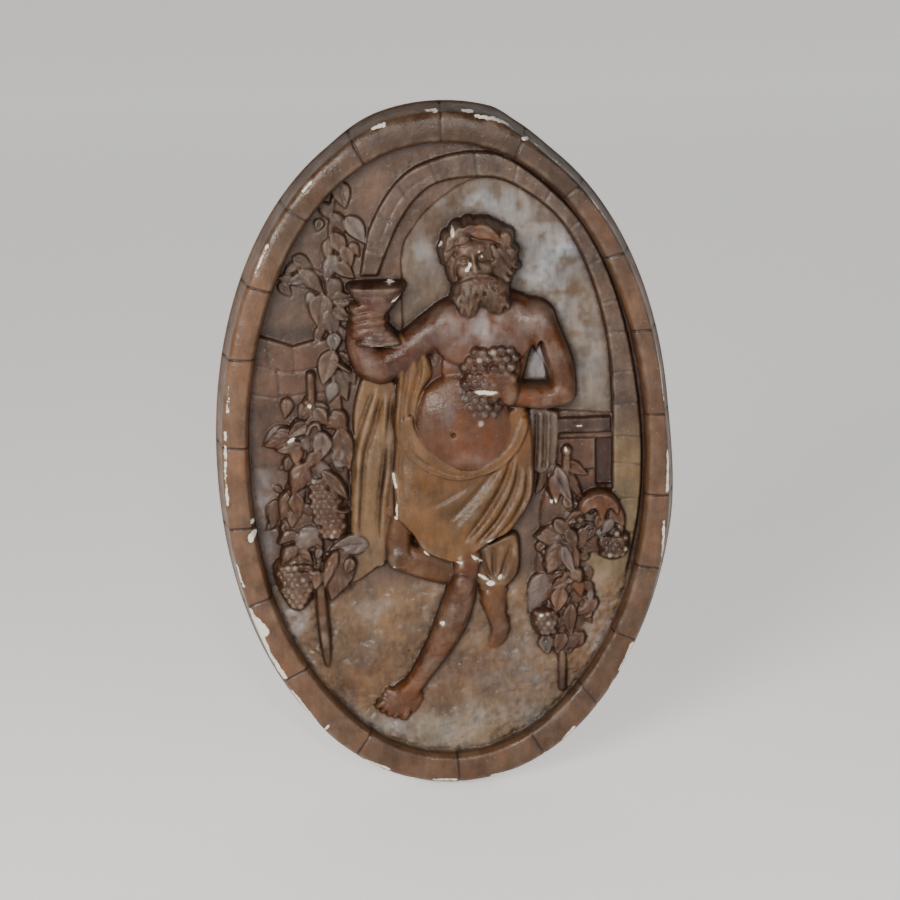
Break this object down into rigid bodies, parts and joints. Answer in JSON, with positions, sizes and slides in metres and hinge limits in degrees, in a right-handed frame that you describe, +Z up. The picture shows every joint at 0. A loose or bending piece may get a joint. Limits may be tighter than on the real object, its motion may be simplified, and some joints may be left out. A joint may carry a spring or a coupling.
{
  "type": "wall plaque",
  "caption": "Oval plaster relief plaque: a bearded figure in a brick niche holds up a goblet and grapes among vines, inside a bevelled brick rim.",
  "frame": {"origin": "middle of the flat back face, where the wall holds the plaque", "axes": "+Z up the oval's long axis, +Y out of the back into the wall, +X to the viewer's right; the relief faces -Y"},
  "size_m": [0.4369, 0.04, 0.6649],
  "materials": {
    "stained_plaster": "satin"
  },
  "bodies": {
    "root": {"plaque": "stained_plaster"}
  },
  "joints": []
}
